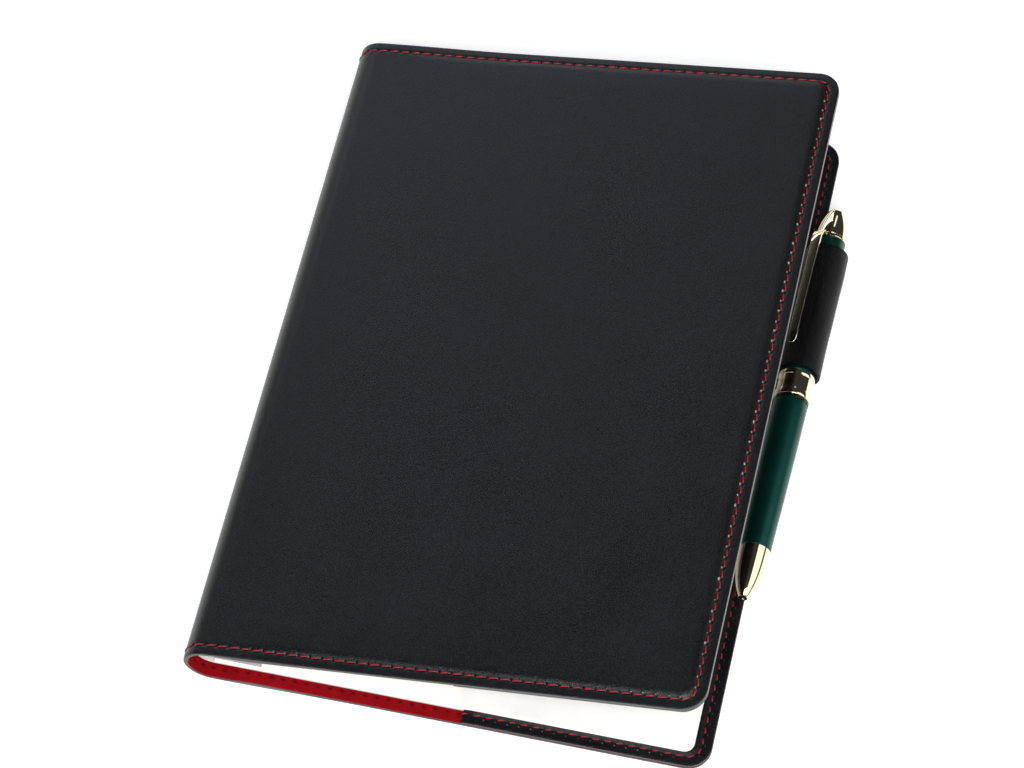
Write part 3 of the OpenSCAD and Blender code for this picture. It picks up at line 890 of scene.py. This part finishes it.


# %% [markdown]
# ## Leathers
# The cover is smooth calf with a very fine, slightly fibrous grain and a waxed look. Where a needle
# hole puckers it, the stretched skin is polished and a pale painted highlight stands on the pucker,
# and painted shade makes the hole itself dark. The flap has the same painted highlights and hole
# shade, and is the same black with a coarse satin pebble; the loop has a finer grain, and the cut
# edges of the sheets carry satin black edge paint.

# %% Leather finishes
def leather_finish(name, dark, pale, cells, fibre, depth, smooth, dull, streak=1.0, painted_glints_and_hole_shade=False,
                   gloss=0.36, fleck=0.05):
    """Grained leather: two close colours in patches, smooth or dull with wear, and pale flecks."""
    made, tree, shader = material(name, dull, Specular_IOR_Level=gloss)
    place = add(tree, "UVMap", uv_map="flat").outputs[0]
    drawn = add(tree, "Mapping", {"Vector": place, "Scale": (1.0, streak, 1.0)}).outputs[0]
    skin = use(tree, grain, Place=drawn, Cells=cells, Fibre=fibre)
    worn = use(tree, wear, Place=place, Size=38.0)
    colour = colour_by(tree, worn["Patch"], dark, pale)
    flecks = mask_of(tree, worn["Speck"], 0.7, 0.95, fleck)
    colour = colour_by(tree, flecks, colour, linear(92, 94, 100))
    rough = value_by(tree, worn["Patch"], smooth, dull)
    if painted_glints_and_hole_shade:
        # A pale glint is painted on each pucker as a painted highlight, and the polish there lowers the
        # roughness.
        raised = add(tree, "Attribute", attribute_name="pucker").outputs["Fac"]
        polish_and_painted_glint = mask_of(tree, raised, 0.35, 0.75)
        colour = colour_by(tree, polish_and_painted_glint, colour, linear(176, 178, 182))
        # The shade in each needle hole is painted near black.
        pierced = add(tree, "Attribute", attribute_name="hole").outputs["Fac"]
        painted_hole_shade = mask_of(tree, pierced, 0.3, 0.9)
        colour = colour_by(tree, painted_hole_shade, colour, linear(5, 5, 6))
        rough = add(tree, "Mix", {0: polish_and_painted_glint, 2: rough, 3: 0.22}).outputs[0]
    tree.links.new(colour, shader.inputs["Base Color"])
    tree.links.new(rough, shader.inputs["Roughness"])
    bump(tree, shader, skin["Height"], depth)
    return made


cover_leather = leather_finish("cover leather", linear(7, 8, 10), linear(12, 13, 16), cells=1700.0,
                               fibre=0.55, depth=0.045, smooth=0.29, dull=0.38, streak=1.7, painted_glints_and_hole_shade=True)
flap_leather = leather_finish("pebbled flap leather", linear(12, 12, 14), linear(19, 19, 22), cells=720.0,
                              fibre=0.15, depth=0.06, smooth=0.34, dull=0.44, painted_glints_and_hole_shade=True, gloss=0.15)
loop_leather = leather_finish("loop leather", linear(4, 4, 5), linear(8, 9, 10), cells=1900.0, fibre=0.35,
                              depth=0.22, smooth=0.27, dull=0.36, gloss=0.11, fleck=0.45)
edge_paint, tree, shader = material("black edge paint", 0.4, Coat_Weight=0.15, Coat_Roughness=0.2)
place = add(tree, "TexCoord").outputs["Object"]
worn = use(tree, wear, Place=place, Size=300.0)
colour = colour_by(tree, worn["Patch"], linear(34, 34, 36), linear(52, 52, 54))
tree.links.new(colour, shader.inputs["Base Color"])
bump(tree, shader, worn["Speck"], 0.02)

# %% [markdown]
# ## Suede, thread, paper and card
# Suede is a nap of short fibres, so it is matte with a soft sheen and its colour shifts in patches
# where the nap lies another way; its needle holes carry painted shade. Waxed thread has a fine tooth
# and small changes of shade. Paper is nearly white with a faint tooth, and the card of the notebook
# is a little darker. The binding cloth is darker still and pinkish grey, partly its own colour and
# partly painted shade for the leaves near the spine.

# %% Suede
suede, tree, shader = material("red suede", 0.95, Specular_IOR_Level=0.03, Sheen_Weight=0.02,
                               Sheen_Roughness=0.5)
place = add(tree, "UVMap", uv_map="flat").outputs[0]
worn = use(tree, wear, Place=place, Size=170.0)
nap = add(tree, "TexNoise", {"Vector": place, "Scale": 3800.0, "Detail": 3.0})
colour = colour_by(tree, worn["Patch"], linear(128, 8, 16), linear(158, 15, 26))
tuft = mask_of(tree, nap.outputs["Fac"], 0.35, 0.65)
colour = colour_by(tree, tuft, linear(112, 7, 14), colour)
# The lining's needle holes are painted dark red for the shade in them, which also hides most of the thread
# lying deep in them.
painted_hole_shade = add(tree, "Attribute", attribute_name="hole").outputs["Fac"]
colour = colour_by(tree, painted_hole_shade, colour, linear(38, 3, 8))
tree.links.new(colour, shader.inputs["Base Color"])
bump(tree, shader, nap.outputs["Fac"], 0.09)


# %% Thread, paper, card, cloth and board
def plain_finish(name, dark, pale, size, roughness, depth, fine_scale=2600.0, metallic=0.0):
    """A finish that reads its place: two close colours in patches, and a fine tooth."""
    made, tree, shader = material(name, roughness, metallic)
    place = add(tree, "TexCoord").outputs["Object"]
    worn = use(tree, wear, Place=place, Size=size)
    tooth = add(tree, "TexNoise", {"Vector": place, "Scale": fine_scale, "Detail": 3.0})
    tree.links.new(colour_by(tree, worn["Patch"], dark, pale), shader.inputs["Base Color"])
    tree.links.new(value_by(tree, worn["Speck"], max(roughness - 0.05, 0.02), roughness + 0.04),
                   shader.inputs["Roughness"])
    bump(tree, shader, tooth.outputs["Fac"], depth)
    return made


thread_red = plain_finish("red waxed thread", linear(112, 5, 20), linear(150, 12, 32), 900.0,
                          0.55, 0.05, 4200.0)
paper = plain_finish("notebook paper", linear(247, 245, 240), linear(254, 253, 250), 60.0,
                     0.75, 0.01, 3000.0)
card_finish = plain_finish("notebook card", linear(213, 210, 203), linear(219, 216, 209), 80.0, 0.65, 0.02)
# The binding cloth's pinkish grey is partly its own colour and partly painted shade near the spine.
cloth_and_spine_shade = plain_finish("binding cloth", linear(176, 161, 167), linear(188, 174, 180), 150.0,
                     0.8, 0.05, 3400.0)
board = plain_finish("core board", linear(120, 104, 86), linear(146, 128, 106), 90.0, 0.85, 0.04)

# %% [markdown]
# ## Plated metal and lacquer
# The trim is pale gold plate, polished so that it mirrors the studio: the floor at its sides, the
# side panel down its right and the dark room between them. Faint hairlines keep it from looking perfect.
# The barrels are metallic green lacquer, which spreads the lamp into a soft band, under a thin clear
# coat that catches the floor at a glancing angle.

# %% Gold plate, green lacquer and the other pen finishes
gold, tree, shader = material("gold plate", 0.07, 1.0)
place = add(tree, "TexCoord").outputs["Object"]
worn = use(tree, wear, Place=place, Size=260.0)
drawn = add(tree, "Mapping", {"Vector": place, "Scale": (9.0, 0.5, 9.0)}).outputs[0]
hair = add(tree, "TexNoise", {"Vector": drawn, "Scale": 900.0, "Detail": 3.0})
colour = colour_by(tree, worn["Patch"], linear(240, 226, 188), linear(247, 236, 206))
tree.links.new(colour, shader.inputs["Base Color"])
tree.links.new(value_by(tree, worn["Patch"], 0.04, 0.08), shader.inputs["Roughness"])
bump(tree, shader, hair.outputs["Fac"], 0.002, 0.5)

green, tree, shader = material("green lacquer", 0.36, 0.85, Coat_Weight=0.12, Coat_Roughness=0.16)
place = add(tree, "TexCoord").outputs["Object"]
worn = use(tree, wear, Place=place, Size=90.0)
flake = add(tree, "TexVoronoi", {"Vector": place, "Scale": 9000.0})
glitter = mask_of(tree, flake.outputs["Distance"], 0.1, 0.6)
colour = colour_by(tree, worn["Patch"], linear(9, 62, 56), linear(14, 72, 65))
tree.links.new(colour_by(tree, glitter, linear(20, 86, 76), colour), shader.inputs["Base Color"])
tree.links.new(value_by(tree, worn["Speck"], 0.32, 0.42), shader.inputs["Roughness"])
bump(tree, shader, flake.outputs["Distance"], 0.004, 0.6)

black_ring = plain_finish("black enamel ring", linear(10, 10, 11), linear(18, 18, 20), 300.0, 0.22, 0.004)
brass = plain_finish("mechanism brass", linear(196, 160, 92), linear(214, 180, 112), 200.0,
                     0.32, 0.01, metallic=1.0)
steel = plain_finish("refill metal", linear(170, 172, 176), linear(196, 198, 202), 200.0,
                     0.25, 0.005, metallic=1.0)


# %% Dress every piece and every frame node that stays
def dress(piece, finish):
    """Gives the piece one finish all over."""
    piece.data.materials.clear()
    piece.data.materials.append(finish)


for pieces, finish in ((leather_halves, cover_leather), (lining_halves, suede), (flaps, flap_leather)):
    for piece in pieces.values():
        piece.data.materials[0] = finish
        piece.data.materials[1] = edge_paint
for finish, pieces in ((thread_red, threads.values()), (card_finish, card_halves.values()), (paper, [leaf]),
                       (cloth_and_spine_shade, [binding]), (loop_leather, [pen_loop]), (green, [lower_barrel, upper_barrel]),
                       (black_ring, [joint_ring]),
                       (gold, [tip_cone, centre_ring, clip_band, finial, pen_clip])):
    for piece in pieces:
        dress(piece, finish)
for node, finish in (("back_panel_core", board), ("front_panel_core", board), ("pen_twist_mechanism", brass),
                     ("pen_refill_tube", steel), ("pen_refill_point", steel)):
    dress(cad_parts[node], finish)

# %% [markdown]
# ## What each piece stands for
# Each finished piece takes the place of its solid in the frame, which stays behind for collisions,
# hidden.

for piece, nodes in ((leather_halves["back"], ["back_outer_leather"]),
                     (leather_halves["front"], ["front_outer_leather", "spine_outer_leather"]),
                     (lining_halves["back"], ["back_lining"]),
                     (lining_halves["front"], ["front_lining", "spine_lining"]),
                     (flaps["back"], ["back_pocket_flap"]),
                     (flaps["front"], ["front_pocket_flap"]),
                     (threads["back", "outer"], ["back_stitching"]),
                     (threads["front", "outer"], ["front_stitching", "spine_stitching"]),
                     (card_halves["back"], ["notebook_back_card"]),
                     (card_halves["front"], ["notebook_front_card", "notebook_spine_card"]),
                     (leaf, ["notebook_page_block"]),
                     (binding, ["notebook_binding_tape"]),
                     (pen_loop, ["pen_loop"]),
                     (tip_cone, ["pen_tip_cone"]),
                     (lower_barrel, ["pen_lower_barrel"]),
                     (joint_ring, ["pen_joint_ring"]),
                     (centre_ring, ["pen_centre_ring"]),
                     (upper_barrel, ["pen_upper_barrel"]),
                     (clip_band, ["pen_clip_band"]),
                     (finial, ["pen_finial"]),
                     (pen_clip, ["pen_clip"])):
    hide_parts(*nodes)

for side in ("back", "front"):
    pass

# %% [markdown]
# ## The studio
# The cover lies on a pale, faintly glowing sweep, as on a light table, so that it stands on white.
# A big soft lamp by the camera lights paper, suede and the tail rim. A wide, cool and low panel behind
# the head, on the spine's side, gives the leather a sheen that fades from the head to the tail. A
# panel on the fore-edge side draws the bright band down the pen, and a narrow strip behind the head
# draws the line on its dome. The room itself is dark.

# %% Floor, lamps and room
bpy.ops.object.select_all(action="DESELECT")
bpy.ops.mesh.primitive_plane_add(size=9, location=(0, 0, -0.0002))
floor = bpy.context.object
floor.name = "sweep"
sweep, tree, shader = material("pale sweep", 0.9, Base_Color=(0.86, 0.86, 0.86, 1), Specular_IOR_Level=0.1,
                               Emission_Color=(1, 1, 1, 1), Emission_Strength=0.42)
dress(floor, sweep)


def lamp(name, at, size, power, aim=(0, 0, 0)):
    """A soft rectangular lamp of size (across, along), turned to face aim."""
    light = bpy.data.lights.new(name, "AREA")
    light.shape, light.energy = "RECTANGLE", power
    light.size, light.size_y = size
    obj = bpy.data.objects.new(name, light)
    bpy.context.scene.collection.objects.link(obj)
    obj.location = at
    obj.rotation_euler = (Vector(aim) - Vector(at)).to_track_quat("-Z", "Y").to_euler()
    return obj


lamp("key by the camera", (0.15, -1.15, 1.45), (1.2, 1.0), 38)
lamp("sheen behind the head", (-1.05, 1.58, 0.84), (1.4, 1.3), 12).data.color = (0.88, 0.92, 1.0)
lamp("side panel", (1.00, -0.30, 0.77), (1.7, 1.15), 8.0, (0.08, -0.3, 0))
lamp("strip behind the head", (0.25, 1.5, 1.0), (0.25, 0.8), 0.75, (0.08, 0.0, 0))

room = bpy.data.worlds.new("room")
room.use_nodes = True
room.node_tree.nodes["Background"].inputs["Color"].default_value = (0.035, 0.037, 0.042, 1)
bpy.context.scene.world = room

# %% Camera
view = bpy.data.cameras.new("camera")
view.lens, view.sensor_width = 136, 36
camera = bpy.data.objects.new("camera", view)
bpy.context.scene.collection.objects.link(camera)
camera.location = (0.1444, -0.5641, 1.0094)
look = (Vector((-0.0056, 0.0054, 0)) - camera.location).to_track_quat("-Z", "Y")
camera.rotation_mode = "QUATERNION"
camera.rotation_quaternion = look @ Matrix.Rotation(math.radians(-2.48), 3, "Z").to_quaternion()
bpy.context.scene.camera = camera
bpy.context.scene.view_settings.view_transform = "Standard"

# %% Update the view layer and close
bpy.context.view_layer.update()
